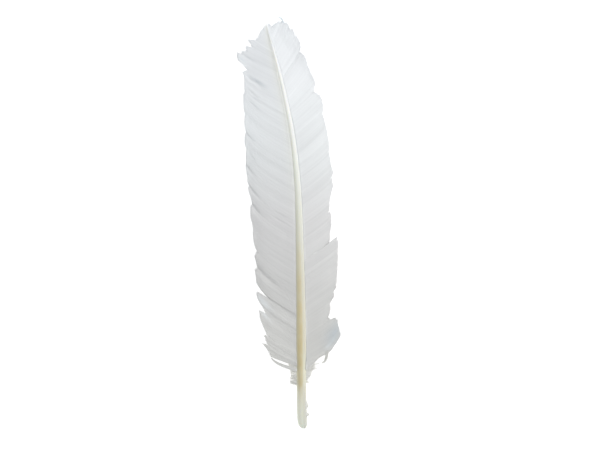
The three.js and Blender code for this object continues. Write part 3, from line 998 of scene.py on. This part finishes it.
# Fine barbules along both sides of a downy barb.
def barbules(course, tuft, random):
    run = distances(course)
    at = np.arange(0.4, run[-1], tuft["barbuleSpacing"])
    at = np.repeat(at + random.uniform(-0.4, 0.4, len(at)) * tuft["barbuleSpacing"], 2)
    at = at.clip(0, run[-1])
    way = unit(np.gradient(course, axis=0))
    place = pointsAt(at, run, course)
    along = unit(pointsAt(at, run, way))
    hand = np.where(np.arange(len(at)) % 2, 1.0, -1.0)[:, None]
    beside = unit(np.cross(along, (0.0, 0.0, 1.0))) * hand
    above = np.cross(beside, along)
    roll = random.normal(0, tuft["roll"], len(at))[:, None]
    outward = beside * np.cos(roll) + above * np.sin(roll)
    lean = np.radians(random.normal(tuft["lean"], 9, len(at)))[:, None]
    heading = along * np.cos(lean) + outward * np.sin(lean)
    longest = tuft["barbule"] * (1 - tuft["outerLoss"] * at / run[-1])
    longest = longest * random.uniform(*tuft["shares"], len(at))
    curl = random.normal(0, tuft["curl"], (len(at), 3)) + along * tuft["forward"]
    u = np.linspace(0, 1, tuft["barbuleSteps"])[None, :, None]
    reach = longest[:, None, None] * u
    courses = place[:, None] + (heading[:, None] + curl[:, None] * u) * reach
    radius = tuft["barbuleRadius"] * (1 - tuft["barbuleThins"] * u[..., 0]) * np.ones((len(at), 1))
    return courses, radius


def buildTuft(name, tuft, seed):
    random = np.random.default_rng(seed)
    courses = downyBarbs(tuft, random) if "margin" in tuft else []
    courses = np.array(courses + looseBarbs(tuft, random))
    stems = tuft["stemRadius"] * (1 - tuft["stemThins"] * np.linspace(0, 1, tuft["steps"]))
    rings = [threads(courses, stems * np.ones((len(courses), 1)))]
    fringe = [barbules(course, tuft, random) for course in courses]
    along, radius = [np.vstack(parts) for parts in zip(*fringe)]
    rings.append(threads(along, radius))
    return addThreads(name, rings)


fluff = {
    "steps": 12, "inset": 0.85, "reach": (0.82, 1.04), "bend": 0.09, "sideways": 0.08,
    "rootHeight": (-0.3, 0.55), "hump": 0.8, "smoothing": 4, "flatness": 0.4, "strands": [],
    "stemRadius": 0.07, "stemThins": 0.8, "barbuleSteps": 3, "barbuleThins": 0.75,
    "shares": (0.55, 1.15), "outerLoss": 0.35, "lean": 42, "roll": 0.6, "curl": 0.22,
    "forward": 0.25,
}
innerDown = {
    **fluff, "side": -1, "count": 46, "roots": (32.2, 46.5), "tipHeight": (0.5, 3.6),
    "margin": [
        (-5.2, 31.8), (-7.2, 32.4), (-9.6, 32.6), (-8.7, 35), (-9.7, 36.6), (-8.6, 38.4),
        (-9.2, 40.4), (-9.9, 42.4), (-9.8, 44.6), (-10.2, 46.6), (-12.5, 48.4),
    ],
    "barbule": 1.5, "barbuleSpacing": 0.14, "barbuleRadius": 0.035,
}
outerDown = {
    **fluff, "side": 1, "count": 78, "roots": (34.6, 49.5), "tipHeight": (0.5, 3.8),
    "margin": [
        (2.4, 36.4), (5.4, 38.2), (6, 40.4), (6.6, 42.2), (8.6, 44.8), (8, 47), (7.4, 48.6),
        (9.8, 50), (11.6, 53.2), (12.6, 56.6),
    ],
    "strands": [
        (7, 0.45, [(1.6, 34.4, 7), (2.8, 34.2, 6.2), (3.9, 33.8, 5.2)]),
        (8, 0.6, [(18, 56.6, 9.1), (17.2, 53.8, 8.8), (16.2, 50.9, 8.3), (15.6, 49.1, 7.9),
                  (13.8, 47.9, 7.5)]),
        (8, 0.7, [(16.4, 57.4, 9.3), (16.6, 54.3, 8.8), (16.6, 52.1, 8.5), (16, 50.3, 8.2)]),
        (3, 0.6, [(5.6, 46.6, 7), (9.2, 47.2, 5.2), (12.2, 47.4, 4)]),
        (3, 0.35, [(7.5, 50, 9.9), (11, 52.2, 9.5), (14, 53.8, 9.1), (15.8, 55.8, 9.2)]),
        (4, 0.7, [(5, 43, 6.4), (8, 43.4, 4.2), (10.4, 43.2, 2.8)]),
        (5, 0.7, [(4.6, 46.6, 8.2), (7.6, 49.6, 8.8), (10.6, 52.6, 9.2)]),
    ],
    "barbule": 1.75, "barbuleSpacing": 0.19, "barbuleRadius": 0.042,
}
# One barb's width of web that hangs free below the inner vane.
looseBarb = {
    **barbs, "side": -1, "droop": (0.05, 0.11), "curl": (0.0045, 0.0017), "steps": 22,
    "spacing": 0.36, "lockReach": 1, "cover": 1.6, "depth": 0.2, "taper": 1.5,
    "clump": (8, 9), "fanned": 0.3, "gather": 0.4, "ragged": 0.3, "point": 0.5,
    "edge": 0.1, "crack": 0, "rootShading": (0, 0), "rootShadingReach": (1.8, 1.8),
    "shadowWarmth": 0, "seat": 0.34, "overhang": 0, "waveHeight": 0.02, "fineHeight": 0,
    "angles": [(49, 80, 50), (52, 80, 50)],
    "margin": [(-21.7, 48.9), (-23.2, 51.9)],
    "creases": [], "spots": [],
}
# Hair-thin barb ends that stand out beyond the tip.
tipWisp = {
    **fluff,
    "strands": [
        (4, 0.5, [(-14, 291.4, 0.8), (-15.2, 294.4, 1.3), (-16.8, 296.2, 1.4), (-19.6, 299, 1.2)]),
        (3, 0.4, [(-13.6, 291.2, 0.6), (-14.6, 293.8, 1.2), (-15.8, 295.2, 1.2), (-17.8, 296.8, 1)]),
    ],
    "barbule": 1.3, "barbuleSpacing": 0.15, "barbuleRadius": 0.022, "stemRadius": 0.03,
    "lean": 40,
}

vaneLook = makeVaneLook()
hornLook = makeHornLook()
sheathLook = makeSheathLook()
downLook = makeDownLook("down fluff", downFinish)
wispLook = makeDownLook("tip wisp", wispFinish)
print("finishes made")


# Gives a piece its finish and hands it over in place of the plain nodes.
def mount(piece, look, slot, *nodes):
    piece.data.materials.append(look)
    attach(piece, "root")
    if nodes:
        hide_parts(*nodes)


mount(buildShaft(), hornLook, "horn", "quill_shaft")
mount(buildWeb("inner_barbs", innerVane, 11), vaneLook, "vane", "inner_vane")
mount(buildWeb("outer_barbs", outerVane, 23), vaneLook, "vane", "outer_vane")
mount(buildWeb("loose_barb", looseBarb, 31), vaneLook, "vane", "stray_barb")
mount(buildTuft("inner_fluff", innerDown, 41), downLook, "down", "inner_down")
mount(buildTuft("outer_fluff", outerDown, 43), downLook, "down", "outer_down")
mount(buildTuft("tip_wisp", tipWisp, 47), wispLook, "down")
for flake in flakes:
    mount(buildFlake(flake), sheathLook, "sheath", flake["node"])
print("pieces placed")


# The floor glows a little, so that it stays white under the feather.
stage = {
    "floorSize": 4.0, "floorColour": (0.93, 0.93, 0.93, 1), "floorGlow": 0.55,
    "skyColour": (0.975, 0.985, 1.0, 1), "sky": 0.63,
    "windowAt": (0.55, 0.22, 0.46), "windowSize": 0.26, "windowPower": 3.0,
    "windowColour": (1.0, 0.995, 0.985),
    "cameraAt": (0.0076, 0.0006, 1.02), "lens": 85.0,
}


def buildStage():
    bpy.ops.mesh.primitive_plane_add(size=stage["floorSize"], location=(0, 0, 0))
    floor = bpy.context.object
    floor.name = "floor"
    look = Look("pale floor")
    floor.data.materials.append(look.finish(
        Base_Color=stage["floorColour"], Roughness=0.9, Specular_IOR_Level=0.1,
        Emission_Color=(1, 1, 1, 1), Emission_Strength=stage["floorGlow"]))

    world = bpy.data.worlds.new("soft light")
    bpy.context.scene.world = world
    world.use_nodes = True
    sky = world.node_tree.nodes["Background"].inputs
    sky["Color"].default_value = stage["skyColour"]
    sky["Strength"].default_value = stage["sky"]

    window = bpy.data.lights.new("window", "AREA")
    window.shape = "DISK"
    window.size = stage["windowSize"]
    window.energy = stage["windowPower"]
    window.color = stage["windowColour"]
    lamp = addObject("window", window)
    lamp.location = stage["windowAt"]
    lamp.rotation_euler = Vector(stage["windowAt"]).to_track_quat("Z", "Y").to_euler()

    camera = addObject("camera", bpy.data.cameras.new("camera"))
    camera.location = stage["cameraAt"]
    camera.data.lens = stage["lens"]
    bpy.context.scene.camera = camera
    bpy.context.scene.view_settings.view_transform = "Standard"


buildStage()
print("stage set")
